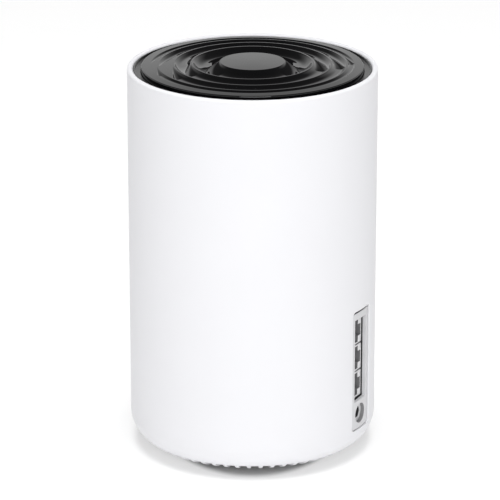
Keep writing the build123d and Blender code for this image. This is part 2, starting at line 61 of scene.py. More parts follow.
# Read from the CAD nodes
BODY_R = box("outer_shell")[1].x
LIP_Z = box("outer_shell")[1].z
FOOT_H = box("base_plate")[0].z
COVER_R = box("top_cover")[1].x
COVER_TOP_Z = box("top_cover")[1].z
COVER_LOW_Z = box("top_cover")[0].z
TRIM_R = box("top_trim_ring")[1].x
TRIM_TOP_Z = box("top_trim_ring")[1].z
BEZEL_R = box("port_bezel")[1].y
# Casing: a wall, a rounded lower edge that ends where the base starts, a lip and an inner ledge
WALL = 2.9
INNER_R = BODY_R - WALL
CORNER_R = 14.2
CORNER_C = BODY_R - CORNER_R
CORNER_Z = FOOT_H + CORNER_R
SHELL_END = degrees(acos((57.5 - CORNER_C) / CORNER_R))
LIP_ROUND = 1.3
LEDGE_Z = 190.0
# Port panel, the pocket of the jacks in it, the round power recess, and the status light's hole
PANEL_HALF_W, PANEL_LOW_Z, PANEL_HIGH_Z, PANEL_ROUND = 8.95, 15.5, 79.0, 2.2
POCKET_HALF_W, POCKET_LOW_Z, POCKET_HIGH_Z = 6.05, 30.6, 74.2
DC_Z, DC_RECESS_R, DC_HOLE_R, DC_FLOOR_Y = 23.4, 5.1, 3.3, 59.0
LIGHT_X, LIGHT_Z, LIGHT_R = 6.55, 26.0, 1.55
# Swirl cover, and the channel round it
SWIRL_TURN = radians(118.0)
COVER_DROP, COVER_DROP_R, COVER_POWER = 2.33, 55.0, 1.6
CHANNEL_Z = 193.6
TRIM_SCREW_R = 52.4
# Base, with vent slots between ribs. Slot angles are in degrees.
SLOT_COUNT, SLOT_ANGLE, SLOT_PHASE, SLOT_IN_R, SLOT_TOP_Z = 60, 3.93, 5.2, 42.0, 7.6
BASE_T = 2.4


# ---------------------------------------------------------------- camera
CAMERA_AZIMUTH, CAMERA_ELEVATION = radians(118.0), radians(18.93)
CAMERA_DISTANCE, CAMERA_AIM_Z = 1.69396, 0.09987
CAMERA_LENS, CAMERA_SHIFT_X = 242.51, -0.005


def make_camera():
    """A long lens, a little above the object."""
    data = bpy.data.cameras.new("camera")
    data.sensor_width = 36.0
    data.lens = CAMERA_LENS
    data.shift_x = CAMERA_SHIFT_X
    data.clip_start, data.clip_end = 0.05, 60.0
    camera = bpy.data.objects.new("camera", data)
    back = Vector((
        sin(CAMERA_AZIMUTH) * cos(CAMERA_ELEVATION),
        -cos(CAMERA_AZIMUTH) * cos(CAMERA_ELEVATION),
        sin(CAMERA_ELEVATION),
    ))
    camera.location = Vector((0, 0, CAMERA_AIM_Z)) + back * CAMERA_DISTANCE
    camera.rotation_mode = "QUATERNION"
    camera.rotation_quaternion = (-back).to_track_quat("-Z", "Y")
    bpy.context.scene.collection.objects.link(camera)
    bpy.context.scene.camera = camera


make_camera()


# ---------------------------------------------------------------- mesh helpers
class Shape:
    """Points in millimetres and faces that index them."""

    def __init__(self):
        self.points, self.faces = [], []

    def add(self, points, faces):
        """More points, and faces that index them."""
        base = len(self.points)
        self.points += [tuple(p) for p in points]
        self.faces += [[base + i for i in face] for face in faces]

    def bridge(self, loops):
        """Quads between neighbouring closed loops of equal length."""
        count = len(loops[0])
        faces = []
        for row in range(len(loops) - 1):
            a, b = row * count, (row + 1) * count
            faces += [[a + i, a + (i + 1) % count, b + (i + 1) % count, b + i] for i in range(count)]
        self.add([p for ring in loops for p in ring], faces)

    def cap(self, ring):
        """One face over a closed loop."""
        self.add(ring, [list(range(len(ring)))])


def is_slot_edge(edge):
    """Whether an edge is a sharp one of the vent slots."""
    if len(edge.link_faces) != 2 or edge.calc_face_angle(0) < radians(40):
        return False
    low_r, high_z = (SLOT_IN_R - 0.1) * MM, (SLOT_TOP_Z + 0.1) * MM
    return all(v.co.xy.length > low_r and v.co.z < high_z for v in edge.verts)


def place_in_scene(name, shape, material, replaced, body=BODY, bevel=0.0):
    """Weld a shape, round its slot edges, shade it, and give it its material, slot and body."""
    mesh = bpy.data.meshes.new(name)
    mesh.from_pydata([[c * MM for c in p] for p in shape.points], [], shape.faces)
    work = bmesh.new()
    work.from_mesh(mesh)
    bmesh.ops.remove_doubles(work, verts=work.verts, dist=1e-3 * MM)
    bmesh.ops.dissolve_degenerate(work, edges=work.edges, dist=1e-8)
    bmesh.ops.recalc_face_normals(work, faces=work.faces)
    if bevel:
        edges = [e for e in work.edges if is_slot_edge(e)]
        bmesh.ops.bevel(work, geom=edges, offset=bevel * MM, segments=2, profile=0.5, affect="EDGES")
    for face in work.faces:
        face.smooth = True
    for edge in work.edges:
        if len(edge.link_faces) == 2 and edge.calc_face_angle(0) > radians(32):
            edge.smooth = False
    work.to_mesh(mesh)
    work.free()
    mesh.materials.append(material)
    piece = bpy.data.objects.new(name, mesh)
    bpy.context.scene.collection.objects.link(piece)
    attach(piece, body)
    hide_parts(*replaced)
    return piece


def arc(centre, radius, start, end, count):
    """Points on an arc, from start to end in degrees, both ends included."""
    turns = [radians(start + (end - start) * i / count) for i in range(count + 1)]
    return [(centre[0] + radius * cos(t), centre[1] + radius * sin(t)) for t in turns]


def softened(corners, radius, steps):
    """A closed outline with its corners rounded."""
    result, count = [], len(corners)
    for i in range(count):
        before, here, after = (Vector(corners[j % count]) for j in (i - 1, i, i + 1))
        first, second = (before - here).normalized(), (after - here).normalized()
        half = first.angle(second) / 2
        reach = radius * cos(half) / sin(half)
        centre = here + (first + second).normalized() * radius / sin(half)
        start, end = here + first * reach - centre, here + second * reach - centre
        turn = start.angle_signed(end)
        for step in range(steps + 1):
            spot = start.copy()
            spot.rotate(Matrix.Rotation(-turn * step / steps, 2))
            result.append(tuple(centre + spot))
    return result


def spread(radius, first):
    """Four spots round the axis, from an angle in degrees."""
    turns = [radians(first + 90 * quarter) for quarter in range(4)]
    return [(radius * cos(t), radius * sin(t)) for t in turns]


def revolved(profile, segments, spot=(0.0, 0.0)):
    """Turn a closed profile of (r, z) points about an upright axis."""
    shape = Shape()
    turns = [2 * pi * i / segments for i in range(segments)]
    shape.bridge([
        [(spot[0] + r * cos(t), spot[1] + r * sin(t), z) for t in turns]
        for r, z in profile + profile[:1]
    ])
    return shape


def circle(x, z, radius, count):
    """Outline of a circle, anticlockwise."""
    turns = [2 * pi * i / count for i in range(count)]
    return [(x + radius * cos(t), z + radius * sin(t)) for t in turns]


def rectangle(low_x, high_x, low_z, high_z, radius, steps):
    """Outline of a rounded rectangle, anticlockwise."""
    corners = [(low_x, low_z), (high_x, low_z), (high_x, high_z), (low_x, high_z)]
    return softened(corners, radius, steps)


def divided(outline, step):
    """The same outline, with each side cut into equal parts of about a step."""
    result = []
    for a, b in zip(outline, outline[1:] + outline[:1]):
        way = (b[0] - a[0], b[1] - a[1])
        parts = max(1, round(hypot(*way) / step))
        result += [(a[0] + way[0] * i / parts, a[1] + way[1] * i / parts) for i in range(parts)]
    return result


def grown(outline, amount):
    """The outline moved outwards by an amount, with mitred corners."""
    result, count = [], len(outline)
    for i in range(count):
        before, here, after = outline[i - 1], outline[i], outline[(i + 1) % count]
        first = Vector((here[1] - before[1], before[0] - here[0])).normalized()
        second = Vector((after[1] - here[1], here[0] - after[0])).normalized()
        middle = first + second
        middle *= 2 * amount / max(middle.length_squared, 1e-9)
        result.append((here[0] + middle.x, here[1] + middle.y))
    return result


def inside(point, outline):
    """Whether a point is inside an outline."""
    x, y, odd = point[0], point[1], False
    for a, b in zip(outline, outline[1:] + outline[:1]):
        if (a[1] > y) != (b[1] > y) and x < (b[0] - a[0]) * (y - a[1]) / (b[1] - a[1]) + a[0]:
            odd = not odd
    return odd


def skin(shape, outer, holes, extra, lift):
    """Triangles inside the outer outline and outside the holes, through the extra points.

    Extra points close to a hole are left out, and so are triangles with no area.
    """
    points, edges = [], []
    for outline in [outer] + holes:
        base, count = len(points), len(outline)
        points += outline
        edges += [(base + i, base + (i + 1) % count) for i in range(count)]
    margins = [grown(hole, 0.6) for hole in holes]
    points += [p for p in extra if inside(p, outer) and not any(inside(p, m) for m in margins)]
    verts, _, faces, *_ = delaunay_2d_cdt([Vector(p) for p in points], edges, [], 0, 1e-7)
    kept = []
    for face in faces:
        if area_tri(*[verts[i] for i in face]) < 1e-6:
            continue
        middle = sum((verts[i] for i in face), Vector((0, 0))) / len(face)
        if inside(middle, outer) and not any(inside(middle, hole) for hole in holes):
            kept.append(face)
    shape.add([lift(v.x, v.y) for v in verts], kept)


def rounded_edge(outline, radius, lift, outwards, steps=4):
    """Loops over a rounded edge: from the surface to a wall that stands on the outline."""
    loops = []
    for i in range(steps + 1):
        turn = radians(90.0 * i / steps)
        ring = grown(outline, outwards * radius * (1 - sin(turn)))
        loops.append([lift(x, z, radius * (1 - cos(turn))) for x, z in ring])
    return loops


def grid(low_x, high_x, low_z, high_z, step):
    """Points spread evenly over a rectangle."""
    across, up = int((high_x - low_x) / step), int((high_z - low_z) / step)
    return [
        (low_x + (high_x - low_x) * (i + 0.5) / across, low_z + (high_z - low_z) * (j + 0.5) / up)
        for i in range(across) for j in range(up)
    ]


def casing_radius(z, depth=0.0):
    """Radius of the casing's surface, or of a surface at a depth below it, at a height."""
    drop = CORNER_Z - z
    if drop <= 0:
        return BODY_R - depth
    return CORNER_C + sqrt(max((CORNER_R - depth) ** 2 - drop * drop, 0.0))


def on_casing(way):
    """Lift (x, z) onto the casing, on its +Y or -Y side."""
    def lift(x, z, depth=0.0):
        return (x, way * sqrt(casing_radius(z, depth) ** 2 - x * x), z)
    return lift


def on_drum(radius):
    """Lift (x, z) onto an upright cylinder's +Y side."""
    def lift(x, z, depth=0.0):
        return (x, sqrt((radius - depth) ** 2 - x * x), z)
    return lift


def on_plane(y):
    """Lift (x, z) onto a flat face that looks towards +Y."""
    def lift(x, z, depth=0.0):
        return (x, y - depth, z)
    return lift


def corner(radius, angle):
    """Point (r, z) on the rounded lower edge, at an angle below the horizontal in degrees."""
    return (CORNER_C + radius * cos(radians(angle)), CORNER_Z - radius * sin(radians(angle)))


# ---------------------------------------------------------------- materials
def make_material(name, color, roughness, metallic=0.0, coat=0.0, ior=1.5, tint=0.03, bump=0.0,
                  grain=0.6, blotch=25.0, rough_swing=0.06, specular=0.5):
    """A moulded, painted or metal surface. Grain and blotch are sizes in millimetres."""
    material = bpy.data.materials.new(name)
    material.use_nodes = True
    nodes, links = material.node_tree.nodes, material.node_tree.links
    shader = nodes["Principled BSDF"]
    shader.inputs["Metallic"].default_value = metallic
    shader.inputs["IOR"].default_value = ior
    shader.inputs["Coat Weight"].default_value = coat
    shader.inputs["Coat Roughness"].default_value = 0.05
    shader.inputs["Specular IOR Level"].default_value = specular
    place = nodes.new("ShaderNodeTexCoord")

    def noise(size, detail):
        node = nodes.new("ShaderNodeTexNoise")
        node.inputs["Scale"].default_value = 1.0 / (size * MM)
        node.inputs["Detail"].default_value = detail
        node.inputs["Roughness"].default_value = 0.55
        links.new(place.outputs["Object"], node.inputs["Vector"])
        return node.outputs["Fac"]

    broad, fine = noise(blotch, 3.0), noise(grain, 4.0)
    ramp = nodes.new("ShaderNodeValToRGB")
    ramp.color_ramp.elements[0].position, ramp.color_ramp.elements[1].position = 0.3, 0.7
    ramp.color_ramp.elements[0].color = [c * (1 - tint) for c in color] + [1.0]
    ramp.color_ramp.elements[1].color = [min(c * (1 + tint), 1.0) for c in color] + [1.0]
    links.new(broad, ramp.inputs["Fac"])
    links.new(ramp.outputs["Color"], shader.inputs["Base Color"])
    swing = nodes.new("ShaderNodeMapRange")
    swing.inputs["To Min"].default_value = max(roughness - rough_swing, 0.01)
    swing.inputs["To Max"].default_value = roughness + rough_swing
    links.new(fine, swing.inputs["Value"])
    links.new(swing.outputs["Result"], shader.inputs["Roughness"])
    if bump:
        relief = nodes.new("ShaderNodeBump")
        relief.inputs["Strength"].default_value = 1.0
        relief.inputs["Distance"].default_value = bump * MM
        links.new(fine, relief.inputs["Height"])
        links.new(relief.outputs["Normal"], shader.inputs["Normal"])
    return material


WHITE = make_material(
    "moulded_white", (0.745, 0.745, 0.767), 0.42, tint=0.006, bump=0.0035, grain=0.35, blotch=45.0,
    specular=0.35,
)
WHITE_INNER = make_material(
    "moulded_white_satin", (0.74, 0.74, 0.76), 0.5, tint=0.008, bump=0.005, grain=0.3, blotch=20.0
)
# The shell's white made darker, as painted shade on the port panel's plate
BEZEL_WHITE_SHADED = make_material(
    "bezel_white", (0.60, 0.60, 0.615), 0.5, tint=0.01, bump=0.004, grain=0.3, blotch=18.0
)
GLOSS_BLACK = make_material(
    "piano_black", (0.003, 0.003, 0.0033), 0.04, ior=1.56, tint=0.15, grain=2.5, blotch=30.0,
    rough_swing=0.012
)
TRIM_BLACK = make_material(
    "trim_black", (0.009, 0.009, 0.0095), 0.16, tint=0.12, bump=0.001, grain=0.5, blotch=15.0
)
RUBBER = make_material(
    "foot_rubber_grey", (0.11, 0.11, 0.115), 0.7, tint=0.08, bump=0.01, grain=0.25, blotch=4.0
)
BUTTON_GREY = make_material(
    "reset_grey", (0.32, 0.32, 0.33), 0.45, tint=0.04, bump=0.004, grain=0.2, blotch=3.0
)
# Mid grey painted as shade on the wall of the power recess
RECESS_PAINTED_SHADE = make_material(
    "recess_painted_shade", (0.23, 0.23, 0.235), 0.45, tint=0.04, bump=0.004, grain=0.25, blotch=5.0
)
# Near black painted as shade: in the power hole, deep in the jack pocket, behind the plate and round its
# edges
DEEP_PAINTED_SHADE = make_material(
    "deep_painted_shade", (0.03, 0.03, 0.032), 0.8, tint=0.1, bump=0.02, grain=0.3, blotch=5.0
)
JACK_WHITE = make_material(
    "jack_face", (0.66, 0.66, 0.67), 0.42, tint=0.02, bump=0.004, grain=0.25, blotch=6.0
)
# Dark grey inside the jack openings: partly the jacks' darker plastic, partly painted shade
JACK_DARK_AND_SHADED = make_material(
    "jack_inside_dark_and_shaded", (0.17, 0.17, 0.175), 0.4, tint=0.08, bump=0.004, grain=0.25, blotch=6.0
)

# One finish for each material slot of the CAD nodes that keep their own mesh
FINISHES = {
    "label_grey": dict(color=(0.62, 0.62, 0.63), roughness=0.6, bump=0.004, grain=0.15, tint=0.02),
    "frame_black": dict(color=(0.022, 0.022, 0.024), roughness=0.5, bump=0.008, grain=0.4, tint=0.12),
    "board_green": dict(
        color=(0.012, 0.085, 0.035), roughness=0.34, bump=0.004, grain=0.8, tint=0.18, blotch=5.0
    ),
    "inlet_body": dict(color=(0.018, 0.018, 0.02), roughness=0.42, bump=0.006, grain=0.3, tint=0.1),
    "pin_metal": dict(color=(0.80, 0.79, 0.76), roughness=0.2, metallic=1.0, bump=0.002, grain=0.2),
    "sink_aluminium": dict(
        color=(0.72, 0.73, 0.75), roughness=0.34, metallic=1.0, bump=0.006, grain=0.25
    ),
    "screw_steel": dict(color=(0.46, 0.46, 0.47), roughness=0.3, metallic=1.0, bump=0.003, grain=0.2),
    "contact_gold": dict(color=(0.86, 0.62, 0.26), roughness=0.2, metallic=1.0, bump=0.001, grain=0.1),
    "led_resin": dict(color=(0.86, 0.85, 0.74), roughness=0.18, grain=0.2, bump=0.002),
    "pipe_clear": dict(color=(0.80, 0.82, 0.86), roughness=0.22, grain=0.4, bump=0.002, coat=0.4),
    "switch_black": dict(color=(0.02, 0.02, 0.022), roughness=0.45, grain=0.2, bump=0.004),
    "switch_stem": dict(color=(0.10, 0.10, 0.11), roughness=0.4, grain=0.2, bump=0.003),
    "coax_jacket": dict(color=(0.05, 0.05, 0.055), roughness=0.38, grain=0.3, bump=0.004),
    "antenna_board": dict(color=(0.015, 0.05, 0.10), roughness=0.36, grain=0.5, bump=0.003, tint=0.15),
    "chip_resin": dict(color=(0.03, 0.03, 0.033), roughness=0.55, grain=0.15, bump=0.005, tint=0.1),
    "can_tin": dict(
        color=(0.70, 0.70, 0.69), roughness=0.3, metallic=1.0, grain=0.4, bump=0.004, tint=0.06
    ),
    "pad_grey": dict(color=(0.28, 0.30, 0.33), roughness=0.75, grain=0.3, bump=0.02, tint=0.08),
    "jack_metal": dict(
        color=(0.24, 0.24, 0.25), roughness=0.4, metallic=1.0, grain=0.3, bump=0.003, tint=0.05
    ),
}


# ---------------------------------------------------------------- outer shell
SEGMENTS = 360
PANEL_EDGE, LIGHT_EDGE = 0.3, 0.15


def shell_profile():
    """Closed (r, z) profile of the shell: outer wall, lip, ledge, inner wall, foot."""
    outer = [corner(CORNER_R, SHELL_END - 0.9 - (SHELL_END - 0.9) * i / 16) for i in range(16)]
    rows = 90
    straight = [(BODY_R, CORNER_Z + (LIP_Z - LIP_ROUND - CORNER_Z) * i / rows) for i in range(rows)]
    lip_c = LIP_Z - LIP_ROUND
    lip = arc((BODY_R - LIP_ROUND, lip_c), LIP_ROUND, 0, 90, 8)
    lip += arc((INNER_R + LIP_ROUND, lip_c), LIP_ROUND, 90, 180, 8)
    ledge = [
        (INNER_R, LEDGE_Z), (INNER_R - 2.5, LEDGE_Z),
        (INNER_R - 2.5, LEDGE_Z - 1.0), (INNER_R, LEDGE_Z - 3.5),
    ]
    inner_rows = 48
    high = LEDGE_Z - 3.5
    inner = [(INNER_R, high + (CORNER_Z - high) * i / inner_rows) for i in range(1, inner_rows)]
    low = [corner(CORNER_R - WALL, (SHELL_END - 1.2) * i / 12) for i in range(13)]
    foot = [corner(CORNER_R - WALL + 0.25, SHELL_END), corner(CORNER_R - 0.25, SHELL_END)]
    return outer + straight + lip + ledge + inner + low + foot


def casing_depth(r, z):
    """Depth of a profile point below the casing's surface."""
    drop = CORNER_Z - z
    if drop <= 0:
        return BODY_R - r
    return CORNER_R - hypot(r - CORNER_C, drop)


def wall_rows(profile, low_z, high_z, depth):
    """First and last profile row between two heights, at a depth below the casing's surface."""
    rows = [
        i for i, (r, z) in enumerate(profile)
        if low_z <= z <= high_z and abs(casing_depth(r, z) - depth) <= 0.01
    ]
    return min(rows), max(rows)


def make_shell():
    """The casing: a wall with a rounded lip and lower edge, a panel cut-out and a light hole."""
    profile = shell_profile()
    count = len(profile)
    panel = rectangle(-PANEL_HALF_W, PANEL_HALF_W, PANEL_LOW_Z, PANEL_HIGH_Z, PANEL_ROUND, 10)
    light = circle(LIGHT_X, LIGHT_Z, LIGHT_R, 40)
    # Outline, side, heights and columns of the window of wall round it, and radius of its edge
    openings = (
        (divided(panel, 1.0), 1, (10.8, 84.0), (77, 26), PANEL_EDGE),
        (light, -1, (20.0, 33.0), (270, 14), LIGHT_EDGE),
    )

    def at(row, col):
        r, z = profile[row]
        return (r * cos(2 * pi * col / SEGMENTS), z)

    shape = Shape()
    windows = []
    for outline, way, (low_z, high_z), (start, width), edge in openings:
        lift = on_casing(way)
        for depth in (0.0, WALL):
            first, last = wall_rows(profile, low_z, high_z, depth)
            windows.append((first, last, start, width))
            border = [at(first, start + i) for i in range(width)]
            border += [at(i, start + width) for i in range(first, last)]
            border += [at(last, start + width - i) for i in range(width)]
            border += [at(i, start) for i in range(last, first, -1)]
            middle = [at(i, start + j) for i in range(first + 1, last) for j in range(1, width)]
            hole = grown(outline, edge) if depth == 0 else outline
            skin(shape, border, [hole], middle, lambda x, z: lift(x, z, depth))
        loops = rounded_edge(outline, edge, lift, 1)
        loops.append([lift(x, z, WALL) for x, z in outline])
        shape.bridge(loops)
    faces = []
    for row in range(count):
        for col in range(SEGMENTS):
            if any(a <= row < b and (col - s) % SEGMENTS < w for a, b, s, w in windows):
                continue
            here, above = row * SEGMENTS, (row + 1) % count * SEGMENTS
            right = (col + 1) % SEGMENTS
            faces.append([here + col, here + right, above + right, above + col])
    turns = [2 * pi * i / SEGMENTS for i in range(SEGMENTS)]
    shape.add([(r * cos(t), r * sin(t), z) for r, z in profile for t in turns], faces)
    place_in_scene("outer_shell_skin", shape, WHITE, ["outer_shell"])


make_shell()


# ---------------------------------------------------------------- port bezel
BEZEL_BACK_R = 57.2      # radius of the plate's back
POCKET_SHADE_DEPTH = 1.9       # depth at which the pocket's wall is split; below it the wall is painted near black as shade round the jacks


def make_bezel():
    """The port panel's plate: rounded outer edge, jack pocket, and a round recess with a hole."""
    edge = 0.2
    lift = on_drum(BEZEL_R)
    back = BEZEL_R - BEZEL_BACK_R
    low_z, high_z = PANEL_LOW_Z + 0.4, PANEL_HIGH_Z - 1.2
    outline = rectangle(-PANEL_HALF_W + 0.35, PANEL_HALF_W - 0.3, low_z, high_z, PANEL_ROUND, 8)
    outline = divided(outline, 1.2)
    pocket = divided(rectangle(-POCKET_HALF_W, POCKET_HALF_W, POCKET_LOW_Z, POCKET_HIGH_Z, 0.35, 4), 1.2)
    recess, hole = circle(0, DC_Z, DC_RECESS_R, 64), circle(0, DC_Z, DC_HOLE_R, 64)
    points = grid(-PANEL_HALF_W + 0.9, PANEL_HALF_W - 0.9, low_z + 0.6, high_z - 0.6, 1.23)
    shape = Shape()
    # Front and back of the plate
    skin(shape, grown(outline, -edge), [grown(pocket, edge), grown(recess, edge)], points, lift)
    skin(shape, outline, [pocket, hole], points, lambda x, z: lift(x, z, back))
    # Its outer edge, and the wall of the pocket
    shape.bridge(rounded_edge(outline, edge, lift, -1) + [[lift(x, z, back) for x, z in outline]])
    wall = [[lift(x, z, depth) for x, z in pocket] for depth in (POCKET_SHADE_DEPTH, back)]
    shape.bridge(rounded_edge(pocket, edge, lift, 1) + wall)
    # The power recess, and the hole in its floor
    floor = on_plane(DC_FLOOR_Y)
    shape.bridge(rounded_edge(recess, edge, lift, 1) + [[floor(x, z) for x, z in recess]])
    lip = rounded_edge(hole, 0.3, floor, 1)
    shape.bridge([[floor(x, z) for x, z in recess], lip[0]])
    shape.bridge(lip + [[lift(x, z, back) for x, z in hole]])
    # The flange that lies against the inside of the casing
    flange = divided(rectangle(-12, 12, 19, 81.5, 0.5, 2), 1.5)
    opening = divided(rectangle(-PANEL_HALF_W + 1.5, PANEL_HALF_W - 1.5, 20.5, 77, 1, 2), 1.5)
    sides = [on_drum(INNER_R - 0.1), on_drum(BEZEL_BACK_R)]
    for side in sides:
        skin(shape, flange, [opening], [], side)
    for loop in (flange, opening):
        shape.bridge([[side(x, z) for x, z in loop] for side in sides])
    piece = place_in_scene("port_bezel_plate", shape, BEZEL_WHITE_SHADED, ["port_bezel"])
    piece.data.materials.append(RECESS_PAINTED_SHADE)
    piece.data.materials.append(DEEP_PAINTED_SHADE)
    # Painted shade: grey on the wall of the power recess, and near black in its hole, behind the pocket
    # and round the plate.
    for face in piece.data.polygons:
        x, y, z = face.center / MM
        from_inlet = hypot(x, z - DC_Z)
        if y < BEZEL_R - 1.0 and DC_HOLE_R + 1.2 < from_inlet < DC_RECESS_R + 0.05:
            face.material_index = 1
        elif from_inlet < DC_HOLE_R + 0.2 and y < DC_FLOOR_Y - 0.15:
            face.material_index = 2
        elif hypot(x, y) < BEZEL_R - POCKET_SHADE_DEPTH and from_inlet > DC_RECESS_R + 0.5:
            face.material_index = 2
        elif face.normal.y < 0.7 and (abs(x) > PANEL_HALF_W - 0.6 or not low_z < z < high_z):
            face.material_index = 2


make_bezel()


# ---------------------------------------------------------------- network jacks
JACK_DEPTH = 13.5
PLUG_X, STEP_X, LATCH_X = 5.0, -1.7, -4.6
PLUG_HALF, LATCH_HALF = 5.95, 3.05


def make_jack(index):
    """A jack's moulded body, with its stepped opening."""
    low, high = box(f"jack_housing_{index}")
    mid = (low.z + high.z) / 2
    front, floor = on_plane(high.y), high.y - JACK_DEPTH
    outline = divided(rectangle(low.x + 0.5, high.x, low.z, high.z, 0.3, 3), 2.0)
    # Wide for the plug, and narrower for its latch
    half = [(PLUG_X, PLUG_HALF), (STEP_X, PLUG_HALF), (STEP_X, LATCH_HALF), (LATCH_X, LATCH_HALF)]
    corners = [(x, mid + z) for x, z in half] + [(x, mid - z) for x, z in reversed(half)]
    opening = divided(softened(corners, 0.15, 2), 2.0)
    shape = Shape()
    skin(shape, grown(outline, -0.12), [grown(opening, 0.18)], [], front)
    shape.bridge(rounded_edge(outline, 0.12, front, -1, 3) + [[(x, low.y, z) for x, z in outline]])
    shape.cap([(x, low.y, z) for x, z in outline])
    shape.bridge(rounded_edge(opening, 0.18, front, 1, 3) + [[(x, floor, z) for x, z in opening]])
    shape.cap([(x, floor, z) for x, z in opening])
    name, replaced = f"jack_body_{index}", [f"jack_housing_{index}"]
    piece = place_in_scene(name, shape, JACK_WHITE, replaced)
    piece.data.materials.append(JACK_DARK_AND_SHADED)
    # Walls and floor of the openings get the dark grey: darker plastic and painted shade
    for face in piece.data.polygons:
        x, y, z = face.center / MM
        if y < high.y - 0.5 and LATCH_X - 0.1 < x < PLUG_X + 0.1 and abs(z - mid) < PLUG_HALF + 0.15:
            face.material_index = 1


for index in (1, 2, 3):
    make_jack(index)


# ---------------------------------------------------------------- swirl cover
# Each groove is ((start, start span), (end, end span), near radius, far radius). Angles are in
# degrees, anticlockwise from the swirl's long axis. Over a span, the groove opens from its tip:
# the four front grooves away from their near side, and the four back grooves from their far side.
CREST = 0.35             # half width of the crest left between two grooves
CREST_ROUND = 0.25       # how softly a crest turns into its grooves
GROOVE_RATIO = 0.24      # depth of a groove as a share of its width
GROOVES = (
    ((169.0, 52.0), (371.0, 52.0), 15.6, 30.0),
    ((180.0, 32.0), (382.0, 38.0), 30.0, 39.0),
    ((181.0, 32.0), (387.0, 34.0), 39.0, 46.6),
    ((178.5, 24.0), (385.7, 24.0), 46.6, 50.8),
    ((-41.0, 52.0), (221.0, 52.0), 15.6, 30.0),
    ((-16.0, 38.0), (212.0, 32.0), 30.0, 39.0),
    ((-9.0, 34.0), (185.0, 32.0), 39.0, 46.6),
    ((1.0, 24.0), (177.3, 24.0), 46.6, 50.8),
)


def dome_z(radius):
    """Height of the cover's crests at a distance from the axis."""
    return COVER_TOP_Z - COVER_DROP * (radius / COVER_DROP_R) ** COVER_POWER


def groove_depth(radius, angle):
    """Depth of the grooves below the dome, at a radius and an angle in degrees."""
    depth = 0.0
    for (start, start_span), (end, end_span), near, far in GROOVES:
        along = (angle - start) % 360.0
        if along >= end - start:
            continue
        first = min(along / start_span, 1.0)
        last = min((end - start - along) / end_span, 1.0)
        near_r, far_r = near + CREST, far - CREST
        if start > 90:
            far_r = near_r + (far_r - near_r) * (first * last) ** 2
        else:
            near_r = far_r - (far_r - near_r) * first * (2 - first) * last * (2 - last)
        from_near, from_far = radius - near_r, far_r - radius
        if from_near <= 0 or from_far <= 0:
            continue
        a = sqrt(from_near ** 2 + CREST_ROUND ** 2) - CREST_ROUND
        b = sqrt(from_far ** 2 + CREST_ROUND ** 2) - CREST_ROUND
        share = abs(a - b) / max(a + b, 1e-6)
        depth += GROOVE_RATIO * (a + b) * (1 - share ** 3)
    return depth


def make_cover():
    """The swirl cover: a dome with crescent grooves between thin crests, closed below."""
    segments, ring_step, edge, hollow_z = 720, 0.2, 0.5, 194.4
    flat_r = COVER_R - edge
    radii = [ring_step * (i + 1) for i in range(int(flat_r / ring_step))]
    radii[-1] = flat_r
    turns = [2 * pi * i / segments for i in range(segments)]
    rings = []
    for r in radii:
        ring = []
        for t in turns:
            z = dome_z(r) - groove_depth(r, degrees(t - SWIRL_TURN))
            ring.append((r * cos(t), r * sin(t), z))
        rings.append(ring)
    edge_z = dome_z(flat_r) - edge
    rim = arc((flat_r, edge_z), edge, 90, 0, 6)[1:]
    rim += [(COVER_R, COVER_LOW_Z), (50.0, COVER_LOW_Z), (50.0, 192.6), (38.0, 193.8), (0.5, hollow_z)]
    for r, z in rim:
        rings.append([(r * cos(t), r * sin(t), z) for t in turns])
    shape = Shape()
    shape.bridge(rings)
    for ring, z in ((rings[0], dome_z(0)), (rings[-1], hollow_z)):
        shape.add(ring + [(0, 0, z)], [[i, (i + 1) % segments, segments] for i in range(segments)])
    place_in_scene("swirl_cover", shape, GLOSS_BLACK, ["top_cover"])


make_cover()


# ---------------------------------------------------------------- trim ring
def make_trim_ring():
    """The black channel between the lip and the cover."""
    rim_in = TRIM_R - 0.8
    seat_r = COVER_R + 0.25
    profile = [(TRIM_R, LEDGE_Z)]
    profile += arc((TRIM_R - 0.35, TRIM_TOP_Z - 0.35), 0.35, 0, 90, 5)
    profile += arc((rim_in + 0.35, TRIM_TOP_Z - 0.35), 0.35, 90, 180, 5)
    profile += arc((rim_in - 0.8, CHANNEL_Z + 0.8), 0.8, 0, -90, 6)
    profile += arc((seat_r + 0.3, CHANNEL_Z - 0.3), 0.3, 90, 180, 4)
    profile += [(seat_r, COVER_LOW_Z), (49.5, COVER_LOW_Z), (49.5, LEDGE_Z)]
    shape = revolved(profile, SEGMENTS)
    low = box("top_trim_ring")[0].z
    boss = [(1.22, low), (1.22, low + 3.6), (0.02, low + 3.6)]
    boss += [(0.02, LEDGE_Z), (2.5, LEDGE_Z), (2.5, low)]
    for spot in spread(TRIM_SCREW_R, 0):
        post = revolved(boss, 32, spot)
        shape.add(post.points, post.faces)
    place_in_scene("trim_channel", shape, TRIM_BLACK, ["top_trim_ring"])


make_trim_ring()


# ---------------------------------------------------------------- vented base
FOOT_SPOTS = spread(33.0, 45)
SCREW_SPOTS = spread(36.0, 0)
RESET_SPOT = tuple(((box("reset_button")[0] + box("reset_button")[1]) / 2).xy)
FOOT_SEAT_R, LABEL_SEAT_X, LABEL_SEAT_Y = 5.1, 22.2, 10.2
SCREW_HEAD_R, SCREW_HOLE_R, GUIDE_IN_R, GUIDE_OUT_R, GUIDE_TOP_Z = 3.0, 1.6, 2.27, 3.7, 10.0


def flat(z, way=1):
    """Lift (x, y) to a height. A depth goes up on an underside and down on a top."""
    def lift(x, y, depth=0.0):
        return (x, y, z + way * depth)
    return lift


